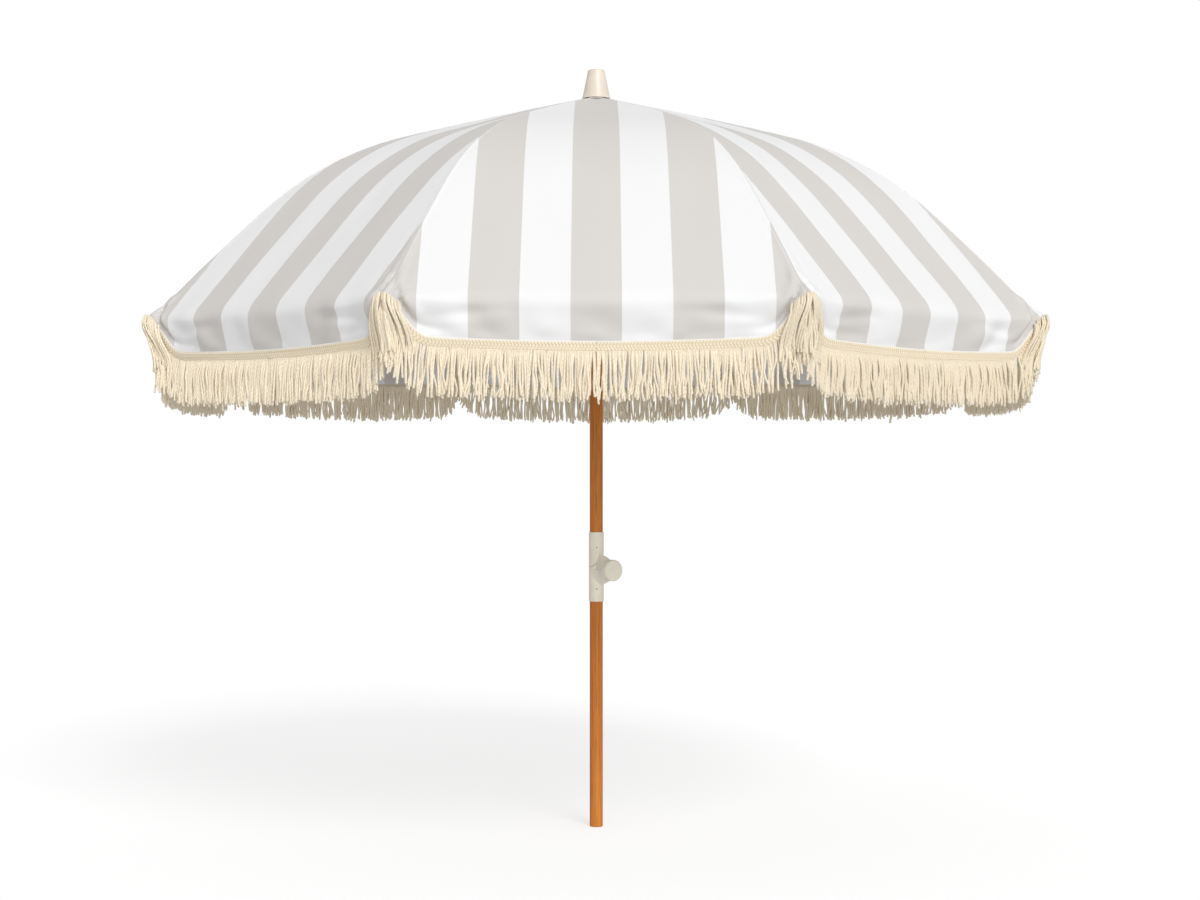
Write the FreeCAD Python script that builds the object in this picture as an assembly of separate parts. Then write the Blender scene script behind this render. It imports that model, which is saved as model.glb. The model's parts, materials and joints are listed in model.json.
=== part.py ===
import FreeCAD, Part
import math
import os

from FreeCAD import Placement, Rotation, Vector

# Beach umbrella, millimetres, +Z up. The origin is the centre of the pole's bottom face.
# -Y is the front: one cloth panel faces it squarely, so the ribs stand half a panel to either side.

# ---- driving dimensions
RIB_COUNT = 8
HALF_PANEL = math.radians(180.0 / RIB_COUNT)

POLE_R = 16.0
SPIGOT_R = 15.6             # the pole's turned-down ends, inside the sleeves
SPIGOT_LENGTH = 52.0
POLE_CHAMFER = 1.5
POLE_TOP = 1766.0

SLEEVE_R = 18.2
SLEEVE_BOTTOM = 550.0
SLEEVE_TOP = 719.0
SLEEVE_RIM = 0.9            # rounding of the sleeves' outer ends
SLEEVE_PIN_R = 1.5
SLEEVE_PIN_LENGTH = 11.0
SLEEVE_PIN_X = 1.2
SLEEVE_PIN_PROUD = 0.2
SLEEVE_PIN_Z = (581.0, 682.0)

TILT_Z = 628.0
KNOB_TURN = 35.0            # degrees from the front towards +X
KNUCKLE_R = 17.4
KNUCKLE_GAP = 1.5
KNUCKLE_REACH = 60.0        # how far above and below the tilt axis the round ends may lie
UPPER_START = 8.0           # the upper sleeve's tube starts this far above the tilt axis
EAR_FACE = 9.0              # the two sleeves' ears meet this far behind the pole's axis
EAR_R = 18.0
EAR_GAP = 0.5
BOSS_FACE = 19.2
BOSS_TOP_WIDTH = 12.5       # half widths and half heights of the boss, from the sleeve to the knob
BOSS_LOW_WIDTH = 17.6
BOSS_HEIGHT = 37.0
BOSS_WAIST = 34.0           # distance, half width and half height of the boss's middle outline
BOSS_WAIST_WIDTH = 17.0
BOSS_WAIST_HEIGHT = 34.0
BOSS_END = 57.0
BOSS_END_R = 23.0

BOLT_R = 4.0
BOLT_END = 68.0
BOLT_HEAD_R = 7.2
BOLT_HEAD_FROM = 15.8
BOLT_HEAD_TO = 19.5
BOLT_HEAD_CHAMFER = 0.8
COUNTERBORE_R = 8.0
COUNTERBORE_FROM = 15.5
RUNNING_GAP = 0.08          # radial clearance of a pin that turns in its hole
KNOB_R = 26.0
KNOB_START = 57.6
KNOB_END = 75.5
KNOB_FACE_ROUND = 4.0
KNOB_BACK_ROUND = 1.5
INSERT_R = 7.0
INSERT_END = 68.6
INSERT_FLOOR = 0.3

CLOTH_TOP_Z = 1783.4        # where the cloth's slope would meet the pole's axis
CLOTH_SLOPES = (13.5, 16.2, 43.3, 46.8)
CLOTH_LENGTHS = (506.0, 389.0, 350.0)
CLOTH_THICKNESS = 1.2
CLOTH_START = 25.0
SEAM_GAP = 0.15             # between the two halves of one panel
CANOPY_STATIONS = (0.0, 0.12, 0.25, 0.40, 0.47, 0.53, 0.59, 0.65, 0.72, 0.81, 0.90, 1.0)

VALANCE_R = 1073.0
VALANCE_BELOW_CLOTH = 0.4
VALANCE_DROP = 93.0
VALANCE_TIP_DROP = 14.0
SCALLOP_LENGTH = 95.0
SCALLOP_STATIONS = (-6.0, 0.0, 4.0, 12.0, 26.0, 46.0, 70.0, 95.0)
FRINGE_LENGTH = 112.0
FRINGE_THICKNESS = 5.0

PIVOT_R = 35.0              # crown and runner pivots stand this far from the axis
PIVOT_Z = 1762.0
RIB_R = 2.5
RIB_BELOW_CLOTH = 4.8
RIB_END_SHORT = 13.0
EYE_R = 4.5
EYE_THICKNESS = 5.0
RING_R = 1.5
RING_GAP = 0.3
STRETCHER_AT = 498.0        # along the cloth from the axis
STRETCHER_DROP = 10.5
STRETCHER_R = 2.5
STUB_R = 2.4
STUB_LENGTH = 6.0

COLLAR_R = 3.7
COLLAR_LENGTH = 16.0
CHEEK_HALF_LENGTH = 7.0
CHEEK_IN = 2.8
CHEEK_OUT = 4.4
CHEEK_LOW = 5.0
CHEEK_ROUND = 4.5
RIVET_R = 1.5
RIVET_HEAD_R = 2.8
RIVET_HEAD = 1.0
CAP_R = 3.5
CAP_BACK = 15.0
CAP_FRONT = 4.0
CAP_ROUND = 1.8

FLANGE_R = 41.0
FLANGE_ROUND = 1.5
SLOT_WIDTH = 6.5
SLOT_MARGIN = 1.5
CROWN_TOP = 1770.0
CROWN_BOTTOM = 1754.0
HUB_R = 22.0
HUB_BOTTOM = 1716.0
CROWN_PIN_R = 2.0
CROWN_PIN_RISE = 7.0
CROWN_PIN_PROUD = 0.3

RUNNER_TUBE_R = 21.0
RUNNER_BORE_R = 16.35
RUNNER_FLANGE_HALF = 8.0
RUNNER_TAIL = 52.0
GRIP_EXTRA = 3.0
GRIP_HEIGHT = 10.0
GRIP_ROUND = 2.0
CATCH_CLEAR = 0.4
CATCH_HEIGHT = 34.0
CATCH_WIDTH = 4.4
CATCH_OUT = 5.0
CATCH_IN = 9.0
CATCH_NOSE = 4.0
CATCH_FOOT = 0.5
CATCH_SLOT_SIDE = 0.3
CATCH_SLOT_END = 0.6
CATCH_SLOT_BEHIND = 6.2

FINIAL_BASE_Z = 1777.6
FINIAL_TOP_Z = 1848.0
FINIAL_BASE_R = 34.3
FINIAL_TOP_R = 19.95
FINIAL_BAND = 3.4
FINIAL_STEP = 1.0
FINIAL_ROUND = 3.0
FINIAL_RIM = 1.5
FINIAL_SPIGOT_R = 11.0
FINIAL_SPIGOT_LENGTH = 22.0
SCREW_DEPTH = 33.0          # how far the finial's screw goes down into the pole
SCREW_RISE = 30.0           # and up into the finial
PATCH_R = 48.0
PATCH_HOLE_R = 13.0
PATCH_ABOVE_CLOTH = 1.3
PATCH_THICKNESS = 0.9

X = Vector(1, 0, 0)
Y = Vector(0, 1, 0)
Z = Vector(0, 0, 1)
BIG = 400.0


# ---- small helpers
def rod(radius, start, direction, length):
    return Part.makeCylinder(radius, length, start, direction)


def block(x0, x1, y0, y1, z0, z1):
    return Part.makeBox(x1 - x0, y1 - y0, z1 - z0, Vector(x0, y0, z0))


def turned(shape, degrees):
    copy = shape.copy()
    copy.rotate(Vector(0, 0, 0), Z, degrees)
    return copy


def joined(shapes):
    result = shapes[0]
    for shape in shapes[1:]:
        result = result.fuse(shape)
    return result.removeSplitter()


def polygon_face(points):
    return Part.Face(Part.makePolygon(points + [points[0]]))


def flat_rims(shape, least_length):
    """The level circular edges that are at least this long."""
    level = [e for e in shape.Edges if e.BoundBox.ZLength < 0.1]
    return [e for e in level if e.Length > least_length]


def revolved(profile):
    """A closed outline of (radius, height) points, turned once round the pole's axis."""
    face = polygon_face([Vector(r, 0, z) for r, z in profile])
    return face.revolve(Vector(0, 0, 0), Z, 360)


def save(name, shape):
    solids = shape.Solids
    assert solids, name
    for solid in solids:
        assert solid.isValid(), name
    kept = solids[0] if len(solids) == 1 else Part.makeCompound(solids)
    kept.exportStep(os.path.join("parts", name + ".step"))
    print(name, len(solids), round(sum(s.Volume for s in solids)))


# ---- the cloth's curve over a rib: three arcs whose slope only grows
def cloth_point(along, below=0.0):
    """Radius, height and slope at a length along the cloth over a rib, or that far below it."""
    radius = 0.0
    height = CLOTH_TOP_Z
    left = along
    for i, length in enumerate(CLOTH_LENGTHS):
        slope = math.radians(CLOTH_SLOPES[i])
        bend = (math.radians(CLOTH_SLOPES[i + 1]) - slope) / length
        step = min(left, length) if i < len(CLOTH_LENGTHS) - 1 else left
        end = slope + bend * step
        radius += (math.sin(end) - math.sin(slope)) / bend
        height -= (math.cos(slope) - math.cos(end)) / bend
        left -= step
        if left <= 0:
            break
    return radius - below * math.sin(end), height - below * math.cos(end), end


def rib_vector(along, below=RIB_BELOW_CLOTH):
    radius, height, _ = cloth_point(along, below)
    return Vector(radius, 0, height)


CLOTH_END = sum(CLOTH_LENGTHS)
RIB_END = CLOTH_END - RIB_END_SHORT
PIVOT = Vector(PIVOT_R, 0, PIVOT_Z)


# ---- the stretcher's triangle: crown pivot, rib pivot, runner pivot, two equal sides
def rib_pivot():
    radius, height, slope = cloth_point(STRETCHER_AT, RIB_BELOW_CLOTH + STRETCHER_DROP)
    return Vector(radius, 0, height), slope


RIB_PIVOT, RIB_PIVOT_SLOPE = rib_pivot()
RUNNER_Z = 2 * RIB_PIVOT.z - PIVOT_Z


# ---- pole
def lower_pole():
    shaft = rod(POLE_R, Vector(0, 0, 0), Z, SLEEVE_BOTTOM)
    bottom_edge = [e for e in shaft.Edges if e.BoundBox.ZMax < 1.0]
    shaft = shaft.makeChamfer(POLE_CHAMFER, bottom_edge)
    spigot = rod(SPIGOT_R, Vector(0, 0, SLEEVE_BOTTOM), Z, SPIGOT_LENGTH)
    return joined([shaft, spigot]).cut(sleeve_pin(SLEEVE_PIN_Z[0]))


CATCH_TOP = RUNNER_Z - RUNNER_FLANGE_HALF - RUNNER_TAIL - CATCH_CLEAR


def upper_pole():
    spigot = rod(SPIGOT_R, Vector(0, 0, SLEEVE_TOP - SPIGOT_LENGTH), Z, SPIGOT_LENGTH)
    shaft = rod(POLE_R, Vector(0, 0, SLEEVE_TOP), Z, POLE_TOP - SLEEVE_TOP)
    pole = joined([spigot, shaft])
    pole = pole.cut(sleeve_pin(SLEEVE_PIN_Z[1]))
    pole = pole.cut(crown_pin())
    pole = pole.cut(rod(BOLT_R, Vector(0, 0, POLE_TOP - SCREW_DEPTH - 1), Z, SCREW_DEPTH + 2))
    half = CATCH_WIDTH / 2 + CATCH_SLOT_SIDE
    bottom = CATCH_TOP - CATCH_HEIGHT - CATCH_SLOT_END
    back = -POLE_R + CATCH_IN + CATCH_SLOT_BEHIND
    return pole.cut(block(-half, half, -BIG, back, bottom, CATCH_TOP + CATCH_SLOT_END))


# ---- tilt joint: built with the clamp bolt along -Y, then turned to the knob's side
def sleeve_pin(height):
    start = Vector(SLEEVE_PIN_X, -SLEEVE_R - SLEEVE_PIN_PROUD, height)
    return rod(SLEEVE_PIN_R, start, Y, SLEEVE_PIN_LENGTH)


def across(radius, y0, y1):
    """A cylinder about the tilt axis, from y0 to y1."""
    return rod(radius, Vector(0, y0, TILT_Z), Y, y1 - y0)


def boss_outline(y, half_width, half_height):
    curve = Part.Ellipse(Vector(0, 0, 0), half_height, half_width).toShape()
    wire = Part.Wire([curve])
    wire.rotate(Vector(0, 0, 0), Z, 90)
    wire.Placement = Placement(Vector(0, y, TILT_Z), Rotation(X, 90)).multiply(wire.Placement)
    return wire


def boss_stage(start, end):
    """The boss between two outlines, each given as distance out, half width and half height."""
    return Part.makeLoft([boss_outline(-out, width, height) for out, width, height in (start, end)], True)


def boss():
    """The flare from the sleeve out to the knob: its lower half grows out of the sleeve's own side."""
    waist = (BOSS_WAIST, BOSS_WAIST_WIDTH, BOSS_WAIST_HEIGHT)
    above = block(-BIG, BIG, -BIG, BIG, TILT_Z, TILT_Z + BIG)
    below = block(-BIG, BIG, -BIG, BIG, TILT_Z - BIG, TILT_Z)
    top = boss_stage((BOSS_FACE, BOSS_TOP_WIDTH, BOSS_HEIGHT), waist).common(above)
    low = boss_stage((0.0, BOSS_LOW_WIDTH, BOSS_HEIGHT), waist).common(below)
    outer = boss_stage(waist, (BOSS_END, BOSS_END_R, BOSS_END_R + 0.01))
    return joined([top, low, outer])


def lower_sleeve():
    tube = rod(SLEEVE_R, Vector(0, 0, SLEEVE_BOTTOM), Z, TILT_Z - SLEEVE_BOTTOM)
    rim = [e for e in flat_rims(tube, SLEEVE_R) if e.BoundBox.ZMax < SLEEVE_BOTTOM + 1]
    tube = tube.makeFillet(SLEEVE_RIM, rim)
    tube = tube.cut(across(EAR_R + EAR_GAP, EAR_FACE, BIG))
    limit = rod(SLEEVE_R, Vector(0, 0, TILT_Z - KNUCKLE_REACH), Z, 2 * KNUCKLE_REACH)
    knuckle = across(KNUCKLE_R, -BIG, EAR_FACE).common(limit)
    sleeve = joined([tube, knuckle, boss()])
    sleeve = sleeve.cut(rod(SPIGOT_R, Vector(0, 0, SLEEVE_BOTTOM - 1), Z, SPIGOT_LENGTH + 1))
    return turned(sleeve.cut(across(BOLT_R, -BIG, BIG)), KNOB_TURN).cut(sleeve_pin(SLEEVE_PIN_Z[0]))


def upper_sleeve():
    start = TILT_Z + UPPER_START
    tube = rod(SLEEVE_R, Vector(0, 0, start), Z, SLEEVE_TOP - start)
    rim = [e for e in flat_rims(tube, SLEEVE_R) if e.BoundBox.ZMin > SLEEVE_TOP - 1]
    tube = tube.makeFillet(SLEEVE_RIM, rim)
    tube = tube.cut(across(KNUCKLE_R + KNUCKLE_GAP, -BIG, EAR_FACE + EAR_GAP))
    limit = rod(SLEEVE_R, Vector(0, 0, TILT_Z - KNUCKLE_REACH), Z, 2 * KNUCKLE_REACH)
    ear = across(EAR_R, EAR_FACE + EAR_GAP, BIG).common(limit)
    sleeve = joined([tube, ear])
    sleeve = sleeve.cut(across(COUNTERBORE_R, COUNTERBORE_FROM, BIG))
    sleeve = sleeve.cut(across(BOLT_R + RUNNING_GAP, -BIG, BIG))
    sleeve = sleeve.cut(rod(SPIGOT_R, Vector(0, 0, SLEEVE_TOP - SPIGOT_LENGTH), Z, SPIGOT_LENGTH + 1))
    return turned(sleeve, KNOB_TURN).cut(sleeve_pin(SLEEVE_PIN_Z[1]))


def tilt_bolt():
    head = across(BOLT_HEAD_R, BOLT_HEAD_FROM, BOLT_HEAD_TO)
    outer_edge = [e for e in head.Edges if e.BoundBox.YMin > BOLT_HEAD_TO - 0.5]
    head = head.makeChamfer(BOLT_HEAD_CHAMFER, outer_edge)
    return turned(joined([head, across(BOLT_R, -BOLT_END, BOLT_HEAD_FROM + 0.2)]), KNOB_TURN)


def tilt_knob():
    disc = across(KNOB_R, -KNOB_END, -KNOB_START)
    face = [e for e in disc.Edges if e.BoundBox.YMax < -KNOB_END + 0.5]
    disc = disc.makeFillet(KNOB_FACE_ROUND, [e for e in face if e.Length > KNOB_R])
    back = [e for e in disc.Edges if e.BoundBox.YMin > -KNOB_START - 0.1]
    disc = disc.makeFillet(KNOB_BACK_ROUND, back)
    return turned(disc.cut(across(INSERT_R, -INSERT_END, 0)), KNOB_TURN)


def knob_insert():
    nut = across(INSERT_R, -INSERT_END, -KNOB_START)
    return turned(nut.cut(across(BOLT_R + RUNNING_GAP, -INSERT_END + INSERT_FLOOR, 0)), KNOB_TURN)


# ---- crown, runner and finial
def rib_angle(k):
    return 360.0 / RIB_COUNT * (k + 0.5) - 90.0


def slotted_flange(bottom, top):
    flange = rod(FLANGE_R, Vector(0, 0, bottom), Z, top - bottom)
    flange = flange.makeFillet(FLANGE_ROUND, flat_rims(flange, FLANGE_R))
    inner = PIVOT_R - EYE_R - SLOT_MARGIN
    slot = block(inner, BIG, -SLOT_WIDTH / 2, SLOT_WIDTH / 2, bottom - 1, top + 1)
    for k in range(RIB_COUNT):
        flange = flange.cut(turned(slot, rib_angle(k)))
    return flange


def crown_pin():
    half = HUB_R + CROWN_PIN_PROUD
    return rod(CROWN_PIN_R, Vector(-half, 0, HUB_BOTTOM + CROWN_PIN_RISE), X, 2 * half)


def crown():
    hub = rod(HUB_R, Vector(0, 0, HUB_BOTTOM), Z, CROWN_BOTTOM + 2 - HUB_BOTTOM)
    body = joined([slotted_flange(CROWN_BOTTOM, CROWN_TOP), hub])
    body = body.cut(rod(POLE_R, Vector(0, 0, HUB_BOTTOM - 1), Z, POLE_TOP - HUB_BOTTOM + 1))
    body = body.cut(rod(BOLT_R, Vector(0, 0, POLE_TOP - 1), Z, CROWN_TOP - POLE_TOP + 2))
    return body.cut(crown_ring()).cut(crown_pin())


def crown_ring():
    return Part.makeTorus(PIVOT_R, RING_R, Vector(0, 0, PIVOT_Z), Z)


def runner():
    bottom = RUNNER_Z - RUNNER_FLANGE_HALF
    flange = slotted_flange(bottom, RUNNER_Z + RUNNER_FLANGE_HALF)
    tail = rod(RUNNER_TUBE_R, Vector(0, 0, bottom - RUNNER_TAIL), Z, RUNNER_TAIL + 2)
    grip = rod(RUNNER_TUBE_R + GRIP_EXTRA, Vector(0, 0, bottom - RUNNER_TAIL), Z, GRIP_HEIGHT)
    grip = grip.makeFillet(GRIP_ROUND, flat_rims(grip, RUNNER_TUBE_R))
    body = joined([flange, tail, grip])
    return body.cut(rod(RUNNER_BORE_R, Vector(0, 0, 0), Z, POLE_TOP))


def runner_catch():
    """A leaf in the pole's slot. Its nose stands out under the runner, which rides over its slope."""
    side = -CATCH_WIDTH / 2
    inner = -POLE_R + CATCH_IN
    nose = -POLE_R - CATCH_OUT
    foot = CATCH_TOP - CATCH_HEIGHT
    leaf = polygon_face([
        Vector(side, inner, CATCH_TOP),
        Vector(side, nose, CATCH_TOP),
        Vector(side, nose, CATCH_TOP - CATCH_NOSE),
        Vector(side, -POLE_R + CATCH_FOOT, foot),
        Vector(side, inner, foot),
    ])
    return leaf.extrude(Vector(CATCH_WIDTH, 0, 0))


def finial():
    slope = math.radians(CLOTH_SLOPES[0])
    recess_z = FINIAL_BASE_Z + (FINIAL_BASE_R - FINIAL_RIM) * math.tan(slope)
    body = revolved([
        (0, FINIAL_BASE_Z - 0.2),
        (FINIAL_BASE_R, FINIAL_BASE_Z),
        (FINIAL_BASE_R, FINIAL_BASE_Z + FINIAL_BAND),
        (FINIAL_BASE_R - FINIAL_STEP, FINIAL_BASE_Z + FINIAL_BAND + FINIAL_STEP),
        (FINIAL_TOP_R, FINIAL_TOP_Z),
        (0, FINIAL_TOP_Z),
    ])
    rim = [e for e in flat_rims(body, FINIAL_TOP_R) if e.BoundBox.ZMin > FINIAL_TOP_Z - 0.5]
    body = body.makeFillet(FINIAL_ROUND, rim)
    below = FINIAL_BASE_Z - 5
    body = body.cut(revolved([
        (0, below), (FINIAL_BASE_R + 1, below), (FINIAL_BASE_R + 1, FINIAL_BASE_Z - 0.3), (0, recess_z),
    ]))
    spigot = rod(FINIAL_SPIGOT_R, Vector(0, 0, CROWN_TOP), Z, FINIAL_SPIGOT_LENGTH)
    return joined([body, spigot]).cut(rod(BOLT_R, Vector(0, 0, CROWN_TOP - 1), Z, SCREW_RISE + 2))


def finial_screw():
    bottom = POLE_TOP - SCREW_DEPTH
    return rod(BOLT_R, Vector(0, 0, bottom), Z, CROWN_TOP + SCREW_RISE - bottom)


def crown_patch():
    slope = math.tan(math.radians(CLOTH_SLOPES[0]))
    top = CLOTH_TOP_Z + CLOTH_THICKNESS / 2 + PATCH_ABOVE_CLOTH
    upper = [(r, top - r * slope) for r in (PATCH_HOLE_R, PATCH_R)]
    lower = [(r, z - PATCH_THICKNESS) for r, z in reversed(upper)]
    return revolved(upper + lower)


# ---- one rib with its stretcher, built along +X and turned into place
def rib_path():
    joint = rib_vector(CLOTH_LENGTHS[0])
    end_slope = math.radians(CLOTH_SLOPES[1])
    chord = joint - PIVOT
    chord_slope = math.atan2(-chord.z, chord.x)
    turn = 2 * (end_slope - chord_slope)
    lift = chord.Length / 2 * math.tan(turn / 4)
    up = Vector(-chord.z, 0, chord.x).normalize()
    middle = PIVOT + chord * 0.5 + up * lift
    edges = [Part.Arc(PIVOT, middle, joint).toShape()]
    shoulder = sum(CLOTH_LENGTHS[:2])
    for start, end in ((CLOTH_LENGTHS[0], shoulder), (shoulder, RIB_END)):
        middle = rib_vector((start + end) / 2)
        edges.append(Part.Arc(rib_vector(start), middle, rib_vector(end)).toShape())
    return Part.Wire(edges)


def tube_along(path, radius):
    first = path.Edges[0]
    start = first.valueAt(first.FirstParameter)
    tangent = first.tangentAt(first.FirstParameter)
    section = Part.Wire([Part.Circle(start, tangent, radius).toShape()])
    return path.makePipeShell([section], True, True)


def eye(at):
    return rod(EYE_R, at - Y * (EYE_THICKNESS / 2), Y, EYE_THICKNESS)


def rib():
    body = joined([tube_along(rib_path(), RIB_R), eye(PIVOT)])
    return body.cut(rod(RING_R + RING_GAP, PIVOT - Y * EYE_THICKNESS, Y, 2 * EYE_THICKNESS))


def along_rib(shape):
    """Carries a shape built at the origin, with the rib along +X above it, to its place on the rib."""
    copy = shape.copy()
    place = Placement(RIB_PIVOT, Rotation(Y, math.degrees(RIB_PIVOT_SLOPE)))
    copy.Placement = place.multiply(copy.Placement)
    return copy


def clip(rib_shape):
    """A collar round the rib with two cheeks below it, which hold the stretcher's eye between them."""
    collar = rod(COLLAR_R, Vector(-COLLAR_LENGTH / 2, 0, STRETCHER_DROP), X, COLLAR_LENGTH)
    long = CHEEK_HALF_LENGTH
    cheek = block(-long, long, CHEEK_IN, CHEEK_OUT, -CHEEK_LOW, STRETCHER_DROP - 0.5)
    corners = [e for e in cheek.Edges if e.BoundBox.YLength > 1 and e.BoundBox.ZMax < 0]
    cheek = cheek.makeFillet(CHEEK_ROUND, corners)
    other = cheek.mirror(Vector(0, 0, 0), Y)
    body = joined([collar, cheek, other]).cut(rod(RIVET_R, Y * -BIG, Y, 2 * BIG))
    return along_rib(body).cut(rib_shape)


def rivet():
    half = CHEEK_OUT + RIVET_HEAD
    pin = rod(RIVET_R, Y * -half, Y, 2 * half)
    heads = [rod(RIVET_HEAD_R, Y * start, Y, RIVET_HEAD) for start in (-half, CHEEK_OUT)]
    return along_rib(joined([pin] + heads))


def tip_cap(rib_shape):
    end = rib_vector(RIB_END)
    slope = cloth_point(RIB_END)[2]
    way = Vector(math.cos(slope), 0, -math.sin(slope))
    cap = rod(CAP_R, end - way * CAP_BACK, way, CAP_BACK + CAP_FRONT)
    far = end + way * CAP_FRONT
    rim = [e for e in cap.Edges if e.Length > CAP_BACK and (e.CenterOfMass - far).Length < 1]
    return cap.makeFillet(CAP_ROUND, rim).cut(rib_shape)


def rib_fitting(rib_shape):
    return Part.makeCompound([clip(rib_shape), rivet(), tip_cap(rib_shape)])


def stretcher():
    foot = Vector(PIVOT_R, 0, RUNNER_Z)
    way = RIB_PIVOT - foot
    shaft = rod(STRETCHER_R, foot, way, way.Length)
    stub = rod(STUB_R, foot - Y * (STUB_LENGTH / 2), Y, STUB_LENGTH)
    body = joined([shaft, eye(foot), eye(RIB_PIVOT), stub])
    return body.cut(rod(RIVET_R + RUNNING_GAP, RIB_PIVOT - Y * EYE_THICKNESS, Y, 2 * EYE_THICKNESS))


# ---- cloth: half panels are flat across, so each is a bent strip trimmed at the rib's plane
def half_wedge():
    """From the middle of a panel, its +X axis here, to the rib plane on its -Y side."""
    far = 2 * VALANCE_R
    corners = [Vector(0, 0, 0), Vector(far, 0, 0), Vector(far, -far * math.tan(HALF_PANEL), 0)]
    return polygon_face(corners).extrude(Vector(0, 0, FINIAL_TOP_Z))


def both_sides(half):
    """A half made in the panel's frame, turned to the rib at +X, with its mirror image."""
    near = half.copy()
    near.rotate(Vector(0, 0, 0), Z, math.degrees(HALF_PANEL))
    return near, near.mirror(Vector(0, 0, 0), Y)


def canopy():
    outer = []
    inner = []
    for share in CANOPY_STATIONS:
        along = CLOTH_START + (CLOTH_END - CLOTH_START) * share
        for row, below in ((outer, -CLOTH_THICKNESS / 2), (inner, CLOTH_THICKNESS / 2)):
            radius, height, _ = cloth_point(along, below)
            row.append(Vector(radius * math.cos(HALF_PANEL), -SEAM_GAP, height))
    strip = polygon_face(outer + inner[::-1]).extrude(Vector(0, -VALANCE_R, 0))
    return joined(list(both_sides(strip.common(half_wedge()))))


def scallop(from_tip):
    """How far the valance's lower edge hangs: a quarter round beside each rib tip, then level."""
    share = min(from_tip / SCALLOP_LENGTH, 1.0)
    return VALANCE_TIP_DROP + (VALANCE_DROP - VALANCE_TIP_DROP) * math.sqrt(1 - (1 - share) ** 2)


VALANCE_TOP = cloth_point(CLOTH_END)[1] - VALANCE_BELOW_CLOTH
HALF_CHORD = VALANCE_R * math.sin(HALF_PANEL)


def plate(upper, lower, thickness):
    x = VALANCE_R * math.cos(HALF_PANEL) - thickness / 2
    outline = [Vector(x, y, z) for y, z in upper + lower[::-1]]
    solid = polygon_face(outline).extrude(Vector(thickness, 0, 0))
    return solid.common(half_wedge())


def fringed_valance():
    edge = [(-HALF_CHORD + d, VALANCE_TOP - scallop(max(d, 0.0))) for d in SCALLOP_STATIONS]
    edge.append((-SEAM_GAP, VALANCE_TOP - VALANCE_DROP))
    fold = [(edge[0][0], VALANCE_TOP), (-SEAM_GAP, VALANCE_TOP)]
    hem = [(y, z - FRINGE_LENGTH) for y, z in edge]
    cloth = joined(list(both_sides(plate(fold, edge, CLOTH_THICKNESS))))
    fringe = joined(list(both_sides(plate(edge, hem, FRINGE_THICKNESS))))
    return Part.makeCompound([cloth, fringe])


# ---- everything
os.makedirs("parts", exist_ok=True)

single = {
    "lower_pole": lower_pole(),
    "lower_sleeve": lower_sleeve(),
    "lower_sleeve_pin": sleeve_pin(SLEEVE_PIN_Z[0]),
    "tilt_bolt": tilt_bolt(),
    "tilt_knob": tilt_knob(),
    "knob_insert": knob_insert(),
    "upper_pole": upper_pole(),
    "upper_sleeve": upper_sleeve(),
    "upper_sleeve_pin": sleeve_pin(SLEEVE_PIN_Z[1]),
    "runner": runner(),
    "runner_catch": runner_catch(),
    "crown": crown(),
    "crown_ring": crown_ring(),
    "crown_pin": crown_pin(),
    "finial": finial(),
    "finial_screw": finial_screw(),
    "crown_patch": crown_patch(),
}
for name, shape in single.items():
    save(name, shape)

one_rib = rib()
per_rib = {
    "rib": one_rib,
    "rib_fitting": rib_fitting(one_rib),
    "stretcher": stretcher(),
    "canopy_panel": canopy(),
    "fringed_valance": fringed_valance(),
}
for k in range(RIB_COUNT):
    for name, shape in per_rib.items():
        save(name + "_" + str(k + 1), turned(shape, rib_angle(k)))

print("runner pivot", RUNNER_Z, "rib pivot", RIB_PIVOT, "rib end", rib_vector(RIB_END))
print("valance hinge", cloth_point(CLOTH_END))
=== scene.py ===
import json
import math

import bpy
import numpy as np
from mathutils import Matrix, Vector


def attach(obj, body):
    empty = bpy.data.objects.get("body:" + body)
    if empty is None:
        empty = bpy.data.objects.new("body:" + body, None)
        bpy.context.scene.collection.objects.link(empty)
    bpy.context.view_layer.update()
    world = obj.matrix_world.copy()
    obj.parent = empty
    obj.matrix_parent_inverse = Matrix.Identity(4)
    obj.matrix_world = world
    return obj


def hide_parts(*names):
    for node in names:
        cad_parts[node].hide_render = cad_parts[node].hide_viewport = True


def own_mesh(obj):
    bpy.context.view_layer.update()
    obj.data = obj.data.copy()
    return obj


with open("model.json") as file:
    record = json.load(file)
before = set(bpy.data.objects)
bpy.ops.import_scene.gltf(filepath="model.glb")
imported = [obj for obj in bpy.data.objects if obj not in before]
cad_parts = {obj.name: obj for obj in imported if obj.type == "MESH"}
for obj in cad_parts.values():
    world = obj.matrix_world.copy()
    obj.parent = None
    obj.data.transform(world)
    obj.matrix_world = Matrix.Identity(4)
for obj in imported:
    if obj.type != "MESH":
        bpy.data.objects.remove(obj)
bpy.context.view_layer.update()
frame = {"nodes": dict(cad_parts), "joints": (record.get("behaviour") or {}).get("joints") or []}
joints = {j["name"]: j for j in frame["joints"]}
print("frame loaded:", len(frame["nodes"]), "CAD nodes")


# shader maths
class Wire:  # one socket, which sums and products can be written with
    def __init__(self, shade, socket):
        self.shade = shade
        self.socket = socket

    def math(self, operation, *others):
        values = {0: self}
        for i, other in enumerate(others):
            values[i + 1] = other
        return self.shade.add("ShaderNodeMath", {"operation": operation}, values)

    def __add__(self, other):
        return self.math("ADD", other)

    def __sub__(self, other):
        return self.math("SUBTRACT", other)

    def __mul__(self, other):
        return self.math("MULTIPLY", other)

    def __truediv__(self, other):
        return self.math("DIVIDE", other)

    def __rsub__(self, other):
        return self.shade.add("ShaderNodeMath", {"operation": "SUBTRACT"}, {0: other, 1: self})

    __radd__ = __add__
    __rmul__ = __mul__


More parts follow.
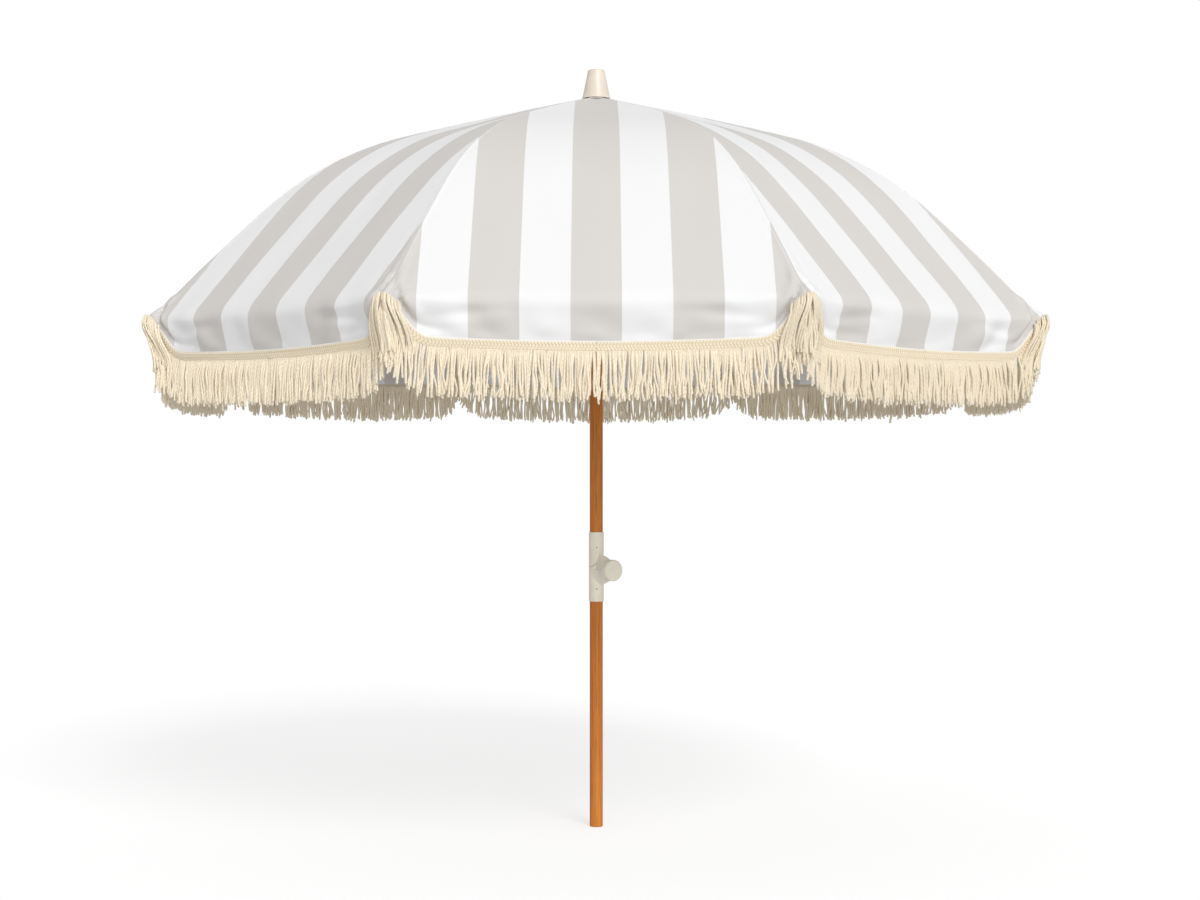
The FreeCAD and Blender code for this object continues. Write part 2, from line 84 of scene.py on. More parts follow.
class NodeTree:  # the nodes of one material, or of the surroundings
    def __init__(self, owner):
        owner.use_nodes = True
        self.nodes = owner.node_tree.nodes
        self.links = owner.node_tree.links

    # a node of one type, its settings first and then the values or links of its sockets
    def add(self, kind, settings=None, values=None, out=0):
        node = self.nodes.new(kind)
        for key, value in (settings or {}).items():
            if key == "stops":
                self.setStops(node.color_ramp, value)
            else:
                setattr(node, key, value)
        for key, value in (values or {}).items():
            if isinstance(value, Wire):
                self.links.new(value.socket, node.inputs[key])
            else:
                node.inputs[key].default_value = value
        return Wire(self, node.outputs[out])

    # as many stops as are given, each a place from 0 to 1 and a colour
    def setStops(self, ramp, stops):
        while len(ramp.elements) < len(stops):
            ramp.elements.new(0.5)
        for element, (place, colour) in zip(ramp.elements, stops):
            element.position = place
            element.color = (*colour, 1.0)


class Shade(NodeTree):  # one material being built around its Principled shader
    def __init__(self, name, **fixed):
        self.material = bpy.data.materials.new(name)
        super().__init__(self.material)
        self.shader = self.nodes["Principled BSDF"]
        for socket, value in fixed.items():
            self.shader.inputs[socket.replace("_", " ")].default_value = value

    def feed(self, socket, wire):
        self.links.new(wire.socket, self.shader.inputs[socket])

    def place(self):
        return self.add("ShaderNodeTexCoord", out="Object")

    def part(self, vector, axis):
        return self.add("ShaderNodeSeparateXYZ", None, {0: vector}, out=axis)

    def uv(self):
        return self.add("ShaderNodeUVMap", {"uv_map": "cloth"})

    def noise(self, vector, scale, detail=3.0, rough=0.5):
        values = {"Vector": vector, "Scale": scale, "Detail": detail, "Roughness": rough}
        return self.add("ShaderNodeTexNoise", None, values, out="Fac")

    def mapping(self, vector, scale):
        return self.add("ShaderNodeMapping", None, {"Vector": vector, "Scale": scale})

    def blend(self, share, first, second, kind="MIX"):
        settings = {"data_type": "RGBA", "blend_type": kind}
        values = {0: share, 6: self.colour(first), 7: self.colour(second)}
        return self.add("ShaderNodeMix", settings, values, out=2)

    def colour(self, value):
        return value if isinstance(value, Wire) else (*value, 1.0)

    def bump(self, height, strength, distance):
        values = {"Height": height, "Strength": strength, "Distance": distance}
        self.feed("Normal", self.add("ShaderNodeBump", None, values))

    # 0 below the low value, 1 above the high one, and a smooth S between them
    def limit(self, wire, low, high):
        values = {0: wire, 1: low, 2: high, 3: 0.0, 4: 1.0}
        return self.add("ShaderNodeMapRange", {"interpolation_type": "SMOOTHSTEP"}, values)


# cloth finishes
stripes = {
    "width": 0.100,
    "edge": 0.0005,
    "white": (0.855, 0.855, 0.86),
    "grey": (0.660, 0.635, 0.610),
    "thread": 0.0011,
    "weave": 0.10,
    "seamAt": 0.0055,
    "stitch": 0.0036,
}


def weaveOf(shade, across, along, pitch):
    # two sets of threads: one cosine each way, multiplied, is a plain weave
    turns = 2 * math.pi / pitch
    return (across * turns).math("COSINE") * (along * turns).math("COSINE")


def stripedCloth():
    shade = Shade("stripedCloth", Roughness=0.82, Sheen_Weight=0.12, Sheen_Roughness=0.5)
    shade.shader.inputs["Specular IOR Level"].default_value = 0.25
    uv = shade.uv()
    across, along = shade.part(uv, 0), shade.part(uv, 1)
    # distance to the nearest grey stripe's centre, folded back and forth over one stripe's width
    fold = across.math("ABSOLUTE").math("PINGPONG", stripes["width"])
    half = stripes["width"] / 2
    white = shade.limit(fold, half - stripes["edge"], half + stripes["edge"])
    drift = shade.noise(shade.place(), 7.0)
    colour = shade.blend(white, stripes["grey"], stripes["white"])
    colour = shade.blend(drift * 0.10, colour, (0.80, 0.79, 0.77), "MULTIPLY")
    # a row of stitches beside each rib seam, on the attribute that holds the distance to the rib
    rib = shade.add("ShaderNodeAttribute", {"attribute_name": "ribDistance"}, out="Fac")
    row = 1 - shade.limit((rib - stripes["seamAt"]).math("ABSOLUTE"), 0.0003, 0.0009)
    dash = shade.limit((along / stripes["stitch"]).math("FRACT"), 0.30, 0.42)
    thread = row * dash
    # painted shade: the cloth's colour is darkened toward grey in the narrow groove right beside each rib seam
    seamShadeMask = 1 - shade.limit(rib, 0.0002, 0.0018)
    shadowed = shade.blend(seamShadeMask * 0.35, colour, (0.5, 0.5, 0.5), "MULTIPLY")
    shade.feed("Base Color", shade.blend(thread * 0.6, shadowed, (0.93, 0.93, 0.93)))
    slub = shade.noise(shade.mapping(shade.place(), (1.0, 1.0, 6.0)), 260.0, 2.0)
    height = weaveOf(shade, across, along, stripes["thread"]) * stripes["weave"]
    shade.bump(height + thread * 0.8 + slub * 0.12, 0.35, 0.0006)
    shade.feed("Roughness", drift * 0.10 + 0.76)
    return shade.material


def plainCloth(name, colour, pitch=0.0011):
    # a plain weave in the bump, and a colour that drifts between two tones
    shade = Shade(name, Roughness=0.85, Sheen_Weight=0.15, Sheen_Roughness=0.5)
    uv = shade.uv()
    across, along = shade.part(uv, 0), shade.part(uv, 1)
    drift = shade.noise(shade.place(), 30.0)
    darker = tuple(0.88 * c for c in colour)
    shade.feed("Base Color", shade.blend(drift, darker, colour))
    shade.bump(weaveOf(shade, across, along, pitch), 0.3, 0.0005)
    return shade.material


cotton = {
    "pale": (0.96, 0.87, 0.70),
    # painted shade: the deep colour is the cord's colour darkened where the grooves between its plies lie
    "deep": (0.86, 0.74, 0.54),
    "plies": 2.0,
    "twist": 0.0095,
    "braidPitch": 0.0068,
}


def cottonCord():
    shade = Shade("cottonCord", Roughness=0.9, Sheen_Weight=0.25, Sheen_Roughness=0.4)
    shade.shader.inputs["Specular IOR Level"].default_value = 0.15
    uv = shade.uv()
    around, along = shade.part(uv, 0), shade.part(uv, 1)
    # plies wind round the strand: a groove lies where turns around and turns along make a whole number
    turn = (around * cotton["plies"] + along / cotton["twist"]).math("FRACT")
    ply = (turn * math.pi).math("SINE")
    hairs = shade.noise(shade.mapping(shade.place(), (1.0, 1.0, 0.25)), 700.0, 3.0)
    tone = shade.noise(shade.mapping(shade.place(), (1.0, 1.0, 0.15)), 55.0, 1.0)
    # painted shade: the deep colour lies in the grooves between the plies, and the pale one on their crests
    body = shade.blend(shade.limit(ply, 0.05, 0.75), cotton["deep"], cotton["pale"])
    body = shade.blend(tone * 0.22, body, (0.86, 0.76, 0.60), "MULTIPLY")
    shade.feed("Base Color", shade.blend(hairs * 0.25, body, (0.95, 0.88, 0.76)))
    shade.bump(ply * 0.8 + hairs * 0.35, 0.7, 0.0009)
    return shade.material


def cottonBraid():
    # painted shade: deep in its hollows and pale on its lumps, after the height it was given
    shade = Shade("cottonBraid", Roughness=0.9, Sheen_Weight=0.25, Sheen_Roughness=0.4)
    shade.shader.inputs["Specular IOR Level"].default_value = 0.15
    high = shade.add("ShaderNodeAttribute", {"attribute_name": "braidHeight"}, out="Fac")
    fibres = shade.noise(shade.place(), 900.0, 3.0)
    tone = shade.noise(shade.place(), 40.0, 2.0)
    body = shade.blend(shade.limit(high, 0.0, 0.85), (0.76, 0.64, 0.46), (0.95, 0.87, 0.71))
    body = shade.blend(tone * 0.25, body, (0.86, 0.77, 0.62), "MULTIPLY")
    shade.feed("Base Color", body)
    shade.bump(fibres + high * 0.5, 0.5, 0.0006)
    return shade.material


# hard finishes
wood = {
    "light": (0.68, 0.248, 0.051),
    "mid": (0.57, 0.185, 0.034),
    "dark": (0.37, 0.106, 0.018),
}


def stainedWood():
    shade = Shade("stainedWood", Roughness=0.42, Coat_Weight=0.04, Coat_Roughness=0.25,
                  Specular_IOR_Level=0.14)
    place = shade.place()
    # long grain: the pattern is squeezed along the pole, so streaks run its length
    warp = shade.noise(shade.mapping(place, (6.0, 6.0, 0.6)), 4.0, 2.0)
    grain = shade.noise(shade.mapping(place, (1.0, 1.0, 0.035)), 190.0, 5.0, 0.6)
    pores = shade.noise(shade.mapping(place, (1.0, 1.0, 0.02)), 900.0, 2.0)
    figure = grain * 0.7 + warp * 0.3
    stops = [(0.28, wood["dark"]), (0.44, wood["mid"]), (0.68, wood["light"])]
    colour = shade.add("ShaderNodeValToRGB", {"stops": stops}, {0: figure})
    pore = 1 - shade.limit(pores, 0.34, 0.46)
    shade.feed("Base Color", shade.blend(pore * 0.45, colour, (0.22, 0.08, 0.025)))
    shade.feed("Roughness", grain * 0.18 + 0.34)
    shade.bump(grain * 0.6 - pore * 0.8, 0.25, 0.0004)
    return shade.material


def mouldedPlastic(name, colour, rough=0.42, grain=1600.0):
    # a fine even grain, with faint clouds in the colour and the gloss
    shade = Shade(name, Roughness=rough, Coat_Weight=0.08, Coat_Roughness=0.3)
    place = shade.place()
    skin = shade.noise(place, grain, 2.0)
    cloud = shade.noise(place, 26.0, 3.0)
    worn = tuple(0.90 * c for c in colour)
    shade.feed("Base Color", shade.blend(shade.limit(cloud, 0.30, 0.75), worn, colour))
    shade.feed("Roughness", cloud * 0.14 + (rough - 0.06))
    shade.bump(skin, 0.12, 0.0003)
    return shade.material


def metal(name, colour, rough, metallic=1.0):
    # fine scratches drawn out along the part, and cloudy dullness
    shade = Shade(name, Metallic=metallic, Roughness=rough)
    place = shade.place()
    scratch = shade.noise(shade.mapping(place, (1.0, 1.0, 0.08)), 700.0, 3.0)
    cloud = shade.noise(place, 35.0, 3.0)
    dull = tuple(0.82 * c for c in colour)
    shade.feed("Base Color", shade.blend(cloud, dull, colour))
    shade.feed("Roughness", scratch * 0.16 + (rough - 0.06))
    shade.bump(scratch, 0.10, 0.0002)
    return shade.material


finish = {
    "cloth": stripedCloth(),
    "white": plainCloth("whiteCloth", (0.88, 0.88, 0.885)),
    "binding": plainCloth("bindingTape", (0.93, 0.90, 0.84), 0.0009),
    "cord": cottonCord(),
    "braid": cottonBraid(),
    "wood": stainedWood(),
    "joint": mouldedPlastic("jointPlastic", (0.90, 0.85, 0.71)),
    "finial": mouldedPlastic("finialPlastic", (0.82, 0.73, 0.62), 0.36),
    "hub": mouldedPlastic("hubPlastic", (0.80, 0.78, 0.73), 0.5),
    "rib": metal("whiteEnamel", (0.80, 0.80, 0.78), 0.32, 0.0),
    "steel": metal("plainSteel", (0.56, 0.55, 0.53), 0.36),
    "dark": metal("darkenedSteel", (0.085, 0.080, 0.072), 0.55, 0.3),
    "brass": metal("brass", (0.70, 0.52, 0.26), 0.34),
}
nodeFinish = {
    "lower_pole": "wood", "upper_pole": "wood",
    "lower_sleeve": "joint", "upper_sleeve": "joint", "tilt_knob": "joint",
    "finial": "finial", "crown": "hub", "runner": "hub",
    "lower_sleeve_pin": "dark", "upper_sleeve_pin": "dark", "tilt_bolt": "steel",
    "crown_pin": "steel", "crown_ring": "steel", "finial_screw": "steel", "runner_catch": "steel",
    "knob_insert": "brass",
}
numberedFinish = {"rib_fitting": "hub", "rib": "rib", "stretcher": "rib"}  # eight of each
for name, node in frame["nodes"].items():
    kind = nodeFinish.get(name) or numberedFinish.get(name[:-2])
    if kind:
        node.data.materials.clear()
        node.data.materials.append(finish[kind])
print("finishes made")


# meshes from arrays
def gridQuads(rows, columns, start=0, flip=False):
    # corner numbers of every square in a grid of points
    place = start + np.arange(rows * columns).reshape(rows, columns)
    corners = [place[:-1, :-1], place[:-1, 1:], place[1:, 1:], place[1:, :-1]]
    quads = np.stack(corners, axis=-1).reshape(-1, 4)
    return quads[:, ::-1] if flip else quads


def outward(points, quads):
    # a closed shape's volume, summed over its faces from its own middle, is positive when they all face out
    a, b, c, d = (points[quads[:, i]] - points.mean(axis=0) for i in range(4))
    volume = (np.cross(a, b) * c).sum() + (np.cross(a, c) * d).sum()
    return quads if volume > 0 else quads[:, ::-1]


def makeMesh(name, points, quads, uv, material, normals=None, attributes=None):
    # points and squares put into a mesh as whole arrays, with the faces turned outwards
    points = np.asarray(points, float).reshape(-1, 3)
    quads = outward(points, quads)
    mesh = bpy.data.meshes.new(name)
    mesh.vertices.add(len(points))
    mesh.vertices.foreach_set("co", points.astype(np.float32).ravel())
    mesh.loops.add(quads.size)
    mesh.loops.foreach_set("vertex_index", quads.astype(np.int32).ravel())
    mesh.polygons.add(len(quads))
    mesh.polygons.foreach_set("loop_start", np.arange(0, quads.size, 4, dtype=np.int32))
    mesh.update(calc_edges=True)
    mesh.polygons.foreach_set("use_smooth", np.ones(len(quads), bool))
    layer = mesh.uv_layers.new(name="cloth")
    layer.data.foreach_set("uv", np.asarray(uv, np.float32).reshape(-1, 2)[quads.ravel()].ravel())
    for key, values in (attributes or {}).items():
        store = mesh.attributes.new(key, "FLOAT", "POINT")
        store.data.foreach_set("value", np.asarray(values, np.float32).ravel())
    if normals is not None:
        mesh.normals_split_custom_set_from_vertices(np.asarray(normals, float).reshape(-1, 3).tolist())
    mesh.materials.append(material)
    mesh.validate()
    piece = bpy.data.objects.new(name, mesh)
    bpy.context.scene.collection.objects.link(piece)
    return piece


def slab(name, front, back, uv, material, normals=None, attributes=None):
    # two grids of the same size, one behind the other, closed by narrow walls round their edge
    rows, columns = front.shape[:2]
    count = rows * columns
    place = np.arange(count).reshape(rows, columns)
    ring = np.concatenate([place[0, :-1], place[:-1, -1], place[-1, :0:-1], place[:0:-1, 0]])
    after = np.roll(ring, -1)
    wall = np.stack([after, ring, ring + count, after + count], axis=-1)
    quads = np.concatenate([gridQuads(rows, columns), gridQuads(rows, columns, count, flip=True), wall])
    points = np.concatenate([front.reshape(-1, 3), back.reshape(-1, 3)])
    if normals is not None:
        flat = normals.reshape(-1, 3)
        normals = np.concatenate([flat, -flat])
    twice = {key: np.concatenate([values.ravel()] * 2) for key, values in (attributes or {}).items()}
    return makeMesh(name, points, quads, np.concatenate([uv.reshape(-1, 2)] * 2), material, normals, twice)


def shell(name, points, normals, thick, uv, material, attributes=None):
    # a sheet with a true thickness: its inner face is its outer face less the normals times the thickness
    return slab(name, points, points - normals * thick, uv, material, normals, attributes)


def upwards(normals):
    # the same normals, turned over if the ones near the crown at mid panel point down
    return -normals if normals[5, normals.shape[1] // 2, 2] < 0 else normals


def normalsOf(points):
    # across and along differences of a grid, crossed
    down = np.gradient(points, axis=0)
    over = np.gradient(points, axis=1)
    across = np.cross(down, over)
    return across / np.maximum(np.linalg.norm(across, axis=-1, keepdims=True), 1e-12)


def smooth(x):
    # 3 x squared less 2 x cubed from 0 to 1: an S with level ends
    x = np.clip(x, 0.0, 1.0)
    return x * x * (3 - 2 * x)


# the cloth's shape
ribCount = 8
halfPanel = math.pi / ribCount
cloth = {
    "top": 1.7834,  # where the cloth would meet the pole's axis
    "slopes": (13.5, 16.2, 43.3, 46.8),  # degrees below level, at the crown and at each length's end
    "lengths": (0.506, 0.389, 0.350),
    "start": 0.0255,
    "thick": 0.0006,
    "planeR": 1.073,  # distance of the valance's corners from the pole
    "bendTip": 0.010,
    "bendMid": 0.052,
    "sag": 0.007,
    "rows": 60,
    "columns": 38,
    "valanceRows": 18,
    "tuck": 0.011,  # how far the cloth runs on behind the braid
    "past": 0.02,  # how far the rib's curve is worked out beyond its tip
    "tuckFrom": 0.02,  # the distance from the tip over which the tuck begins
    "least": 0.004,  # the least straight cloth below the bend
    "bendRows": 8,
    "bendGrow": 1.6,  # how soon the bend grows from the tip's to mid panel's
    "rowEase": 0.85,  # powers that draw the rows to the hem and the columns to the rib
    "columnEase": 1.6,
}
planeX = cloth["planeR"] * math.cos(halfPanel)
halfChord = cloth["planeR"] * math.sin(halfPanel)
lengthAll = sum(cloth["lengths"])


def ribCurve(along):
    # radius, height and slope of the cloth over a rib: the slope grows in three straight stretches, and the
    # radius and height are the running sums of its cosine and its sine
    fine = np.linspace(0.0, lengthAll + cloth["past"], 6000)
    knots = np.concatenate([[0.0], np.cumsum(cloth["lengths"])])
    slope = np.radians(np.interp(fine, knots, cloth["slopes"]))
    step = fine[1] - fine[0]
    between = slope[1:] / 2 + slope[:-1] / 2
    radius = np.concatenate([[0.0], np.cumsum(np.cos(between)) * step])
    height = cloth["top"] - np.concatenate([[0.0], np.cumsum(np.sin(between)) * step])
    return np.interp(along, fine, radius), np.interp(along, fine, height), np.interp(along, fine, slope)


outerRadius, outerHeight, _ = ribCurve(np.linspace(0, lengthAll + cloth["past"] / 2, 900))
creaseZ = float(np.interp(cloth["planeR"], outerRadius, outerHeight))
hem = {
    "scallop": 0.080,
    "reach": 0.041,
    "power": 2.1,
    "belly": 0.012,
    "bulge": 0.009,  # how far the edge stands out round a rib's tip
    "bulgeReach": 0.028,
    "lean": 0.26,  # how much the cloth below the bend leans back in, per metre of drop
    "leanFrom": 0.012,  # the drop at which that begins, and how far down it goes on
    "leanOver": 0.085,
    "unstitched": 0.02,  # added to the distance from the rib, so that the seam's stitches end at the bend
}


def hemDrop(fromTip):
    # depth of the hem below the fold: a quick S beside the tip, 1 less a falling exponential, and then the
    # first quarter of a sine to mid panel
    d = np.maximum(fromTip, 0.0)
    quick = hem["scallop"] * (1 - np.exp(-(d / hem["reach"]) ** hem["power"]))
    return quick + hem["belly"] * np.sin(np.clip(d / halfChord, 0, 1) * math.pi / 2)


def waves(panel, across, along, scale, seed, count=7):
    # a sum of sine waves, each with a seeded direction, length and phase, over the root of their number
    rng = np.random.default_rng(seed + 31 * panel)
    total = np.zeros(np.broadcast(across, along).shape)
    for _ in range(count):
        way = rng.uniform(0, 2 * math.pi)
        pace = 2 * math.pi / (scale * rng.uniform(0.6, 1.6))
        total += np.sin(pace * (across * math.cos(way) + along * math.sin(way)) + rng.uniform(0, 6.28))
    return total / math.sqrt(count)


def profile(columnShare):
    # for each column, in the panel's own plane: the bend's length, where it begins and the curve before it.
    # Its slope is the arctangent of the rib's own tangent over the cosine of half a panel, and the bend is an
    # arc that turns from that slope to straight down
    bend = cloth["bendTip"] + (cloth["bendMid"] - cloth["bendTip"]) * smooth(columnShare * cloth["bendGrow"])
    s = np.linspace(0.0, lengthAll + 0.9 * cloth["past"], 3000)
    radius, height, slope = ribCurve(s)
    x = radius * math.cos(halfPanel)
    steep = np.arctan(np.tan(slope) / math.cos(halfPanel))
    endSteep = steep[-1]
    turn = math.pi / 2 - endSteep
    reach = bend * (1 - math.sin(endSteep)) / turn
    begin = np.interp(planeX - reach, x, s)
    return bend, begin, s, x, height, steep


def panelPoints(panel, share, beyond):
    # a panel's cloth in its own frame: down the curve, round the bend's arc and straight down to the hem.
    # share: 0 at the rib .. 1 mid panel, signed by side; beyond: rows past the bend
    bend, begin, s, x, z, steep = profile(np.abs(share))
    side = np.sign(share) + (share == 0)
    rows = np.linspace(0, 1, cloth["rows"]) ** cloth["rowEase"]
    sRow = cloth["start"] + rows[:, None] * (begin[None, :] - cloth["start"])
    upper = np.stack([np.interp(sRow, s, x), np.interp(sRow, s, z)], axis=-1)
    x1, z1 = np.interp(begin, s, x), np.interp(begin, s, z)
    a1 = np.interp(begin, s, steep)
    radius = bend / (math.pi / 2 - a1)
    arc = np.linspace(0, 1, cloth["bendRows"] + 1)[1:, None]
    angle = a1 + (math.pi / 2 - a1) * arc
    bent = np.stack([
        x1 + radius * (np.sin(angle) - np.sin(a1)), z1 - radius * (np.cos(a1) - np.cos(angle)),
    ], axis=-1)
    fromTip = np.abs(share) * halfChord
    low = creaseZ - hemDrop(fromTip) - cloth["tuck"] * smooth(fromTip / cloth["tuckFrom"])
    low = np.minimum(low, bent[-1, :, 1] - cloth["least"])
    down = np.linspace(0, 1, beyond + 1)[1:, None]
    bendEnd = bent[-1, :, 1]
    straight = np.stack([np.full((beyond, len(share)), planeX), bendEnd + (low - bendEnd) * down], axis=-1)
    line = np.concatenate([upper, bent, straight])
    steps = np.linalg.norm(np.diff(line, axis=0), axis=-1)
    along = cloth["start"] + np.concatenate([np.zeros((1, len(share))), np.cumsum(steps, axis=0)])
    across = side * (1 - np.abs(share)) * line[..., 0] * math.tan(halfPanel)
    points = np.stack([line[..., 0], across, line[..., 1]], axis=-1)
    return points, across, along, fromTip


folds = {  # heights, reaches and places in metres
    "seam": (0.0007, 0.0060, 0.0016),  # the doubled cloth over a rib: height, half width, its edge
    "seamGroove": (0.0004, 0.0012),  # the stitched line in its middle
    "pucker": (0.0009, 0.031, 0.016, 0.011),  # height, wave length, distance from the rib, reach
    "near": 0.105,  # how far the pulls beside a tip reach
    "groove": (-0.0108, 0.021, 0.010),  # height, distance above the hem, reach
    "ridge": (0.0076, 0.043, 0.014),
    "second": (-0.0062, 0.030, 0.013),
    "secondPlace": (0.13, 0.10, 0.15),  # distance from the tip, reach, and how steeply it climbs
    "fan": (0.0030, 0.088, 0.75, 0.55),  # height, wave length, and its share of each direction
    "fanPlace": (0.17, 0.11),
    "soft": (0.0028, 0.105, 0.135),  # height, wave length, how far above the hem
    "taut": (0.0008, 0.26, 2.2),  # height, wave length, how much shorter it is across
    "lines": (0.0018, 0.024, 0.05),  # height, wave length, reach from the rib
    "calm": (0.001, 0.022),  # the cloth is flat where the braid is sewn on
}


def hill(distance, reach):
    # 1 in the middle, falling off as a bell: the exponential of minus the square of distance over reach
    return np.exp(-(distance / reach) ** 2)


def relief(panel, across, along, fromTip, points):
    # how far the cloth stands off its plain shape: the sum of a sag between ribs (a squared sine across, a
    # sine along), a raised seam, bells that pull from each tip, sine folds that fan down from it, and soft
    # waves
    width = np.abs(points[..., 0]) * math.tan(halfPanel)
    mid = 1 - np.abs(across) / width
    ribGap = width - np.abs(across)
    stretch = np.clip(along / lengthAll, 0, 1.08)
    sag = -cloth["sag"] * np.sin(mid * math.pi / 2) ** 2 * np.sin(np.clip(stretch, 0, 1) * math.pi)
    high, half, edge = folds["seam"]
    deep, narrow = folds["seamGroove"]
    seam = high * (1 - smooth((ribGap - half) / edge)) - deep * hill(ribGap, narrow)
    high, wave, place, reach = folds["pucker"]
    pucker = high * np.sin(along * 2 * math.pi / wave + panel) * hill(ribGap - place, reach)

    tip = fromTip[None, :]
    below = creaseZ - points[..., 2]
    hemGap = hemDrop(fromTip)[None, :] - below
    near = hill(tip, folds["near"]) * smooth(tip / 0.016)
    high, place, reach = folds["groove"]
    groove = high * near * hill(hemGap - place, reach)
    high, place, reach = folds["ridge"]
    ridge = high * near * hill(hemGap - place, reach)
    high, place, reach = folds["second"]
    far, farReach, climb = folds["secondPlace"]
    second = high * hill(np.abs(tip - far), farReach) * hill(hemGap - place - climb * tip, reach)

    high, wave, sideways, up = folds["fan"]
    far, farReach = folds["fanPlace"]
    fan = np.sin((tip * sideways + hemGap * up) * 2 * math.pi / wave + 1.3 * panel)
    fanned = high * fan * smooth((0.120 - hemGap) / 0.09) * hill(tip - far, farReach)
    high, wave, top = folds["soft"]
    low = smooth((top - hemGap) / top) * smooth(tip / 0.05)
    soft = fanned + high * low * waves(panel, across, along, wave, 5)
    high, wave, squeeze = folds["taut"]
    taut = high * smooth(mid * 3) * waves(panel, across * squeeze, along, wave, 17)
    high, wave, reach = folds["lines"]
    pull = hill(ribGap, reach) * smooth((stretch - 0.72) / 0.28)
    lines = high * pull * np.sin(ribGap * 2 * math.pi / wave + 2.5 * np.sin(along * 9 + panel))

    start, over = folds["calm"]
    calm = smooth((hemGap - start) / over)
    bulge = hem["bulge"] * hill(fromTip, hem["bulgeReach"])[None, :] * smooth((0.05 - hemGap) / 0.05)
    lean = -hem["lean"] * np.clip(below - hem["leanFrom"], 0.0, hem["leanOver"])
    return sag + seam + pucker + (groove + ridge + second + soft + taut + lines) * calm + bulge + lean


def toWorld(points, angle):
    # from a panel's frame, with its middle along +X, to the umbrella's
    c, s = math.cos(angle), math.sin(angle)
    return np.stack([
        points[..., 0] * c - points[..., 1] * s, points[..., 0] * s + points[..., 1] * c, points[..., 2],
    ], axis=-1)


def panelAngle(panel):
    # panel 0 faces the front, and each next one is 45 degrees on, counter-clockwise from above
    return math.radians(-90.0 + 45.0 * panel)


tiny = 1e-9  # puts each edge on its own side of the panel
shareHalf = np.linspace(0, 1, cloth["columns"]) ** cloth["columnEase"]
shares = np.concatenate([-shareHalf, shareHalf[-2::-1]])
shares[0] = -tiny
shares[-1] = tiny
cutRow = cloth["rows"] + cloth["bendRows"] // 2  # halfway round the bend: panel above, valance below
patternShift = {1: 0.050, 5: -0.030}  # how far these panels' stripes are shifted sideways


def buildPanels():
    # each panel's plain shape, moved along its normals by its relief and turned into place
    allPoints, allNormals, allUv, allGap = [], [], [], []
    for panel in range(ribCount):
        flat, across, along, fromTip = panelPoints(panel, shares, cloth["valanceRows"])
        plainNormals = upwards(normalsOf(flat))
        full = flat + plainNormals * relief(panel, across, along, fromTip, flat)[..., None]
        # the seam itself stays in the rib's plane, so that neighbouring panels meet
        full[:, [0, -1], 1] = np.sign(across[:, [0, -1]]) * full[:, [0, -1], 0] * math.tan(halfPanel)
        normals = upwards(normalsOf(full))
        angle = panelAngle(panel)
        allPoints.append(toWorld(full, angle))
        allNormals.append(toWorld(normals, angle))
        allUv.append(np.stack([across + patternShift.get(panel, 0.0), along], axis=-1))
        allGap.append(np.abs(flat[..., 0]) * math.tan(halfPanel) - np.abs(across))
    points, normals = np.array(allPoints), np.array(allNormals)
    # both sides of a rib share their edge and its normal
    after = np.roll(np.arange(ribCount), -1)
    edge = (points[:, :, -1] + points[after][:, :, 0]) / 2
    points[:, :, -1] = edge
    points[after, :, 0] = edge
    lean = normals[:, :, -1] + normals[after][:, :, 0]
    lean /= np.linalg.norm(lean, axis=-1, keepdims=True)
    normals[:, :, -1] = lean
    normals[after, :, 0] = lean
    return points, normals, np.array(allUv), np.array(allGap)


clothPoints, clothNormals, clothUv, clothGap = buildPanels()
print("cloth worked out:", clothPoints.shape)


# folding
closing = {
    "bands": 12,  # of each sector, from the crown to the hem
    "pole": 0.016,  # the mid panel line comes no nearer to the pole's axis
    "least": 0.06,  # limits of the share of its width that a band keeps
    "most": 0.9,
    "valance": 0.1,  # the share that the valance keeps
}


def foldedKeep(radius, height):
    # the mid panel line is turned about the rib's pivot by the whole fold, and its new half width over its old
    # one is the share that the band keeps
    pivot = joints["rib_1_fold"]["pos_m"]
    pivotR = math.hypot(pivot[0], pivot[1])
    turn = math.radians(joints["rib_1_fold"]["range_deg"][1])
    inward = radius * math.cos(halfPanel) ** 2  # the mid panel line, in the rib's plane
    x, z = inward - pivotR, height - pivot[2]
    folded = pivotR + x * math.cos(turn) + z * math.sin(turn)
    wanted = max(folded, closing["pole"]) * math.tan(halfPanel)
    share = wanted / (radius * math.cos(halfPanel) * math.sin(halfPanel))
    return float(np.clip(share, closing["least"], closing["most"]))


bands = [round(cutRow * i / closing["bands"]) for i in range(closing["bands"] + 1)]


def areaOf(points):
    # two triangles to each square: half the length of each one's cross product, summed
    side = np.cross(points[1:, :-1] - points[:-1, :-1], points[:-1, 1:] - points[:-1, :-1])
    other = np.cross(points[1:, :-1] - points[1:, 1:], points[:-1, 1:] - points[1:, 1:])
    return float(np.linalg.norm(side, axis=-1).sum() / 2 + np.linalg.norm(other, axis=-1).sum() / 2)


def flatSize(points):
    # the cut's width and length, with its true area beside them
    width = max(np.linalg.norm(np.diff(points[row], axis=0), axis=-1).sum() for row in (0, -1))
    length = np.linalg.norm(np.diff(points[:, points.shape[1] // 2], axis=0), axis=-1).sum()
    area = areaOf(points)
    length = max(length, 1.02 * area / width)
    return (round(float(width), 4), round(float(length), 4)), round(area, 5)


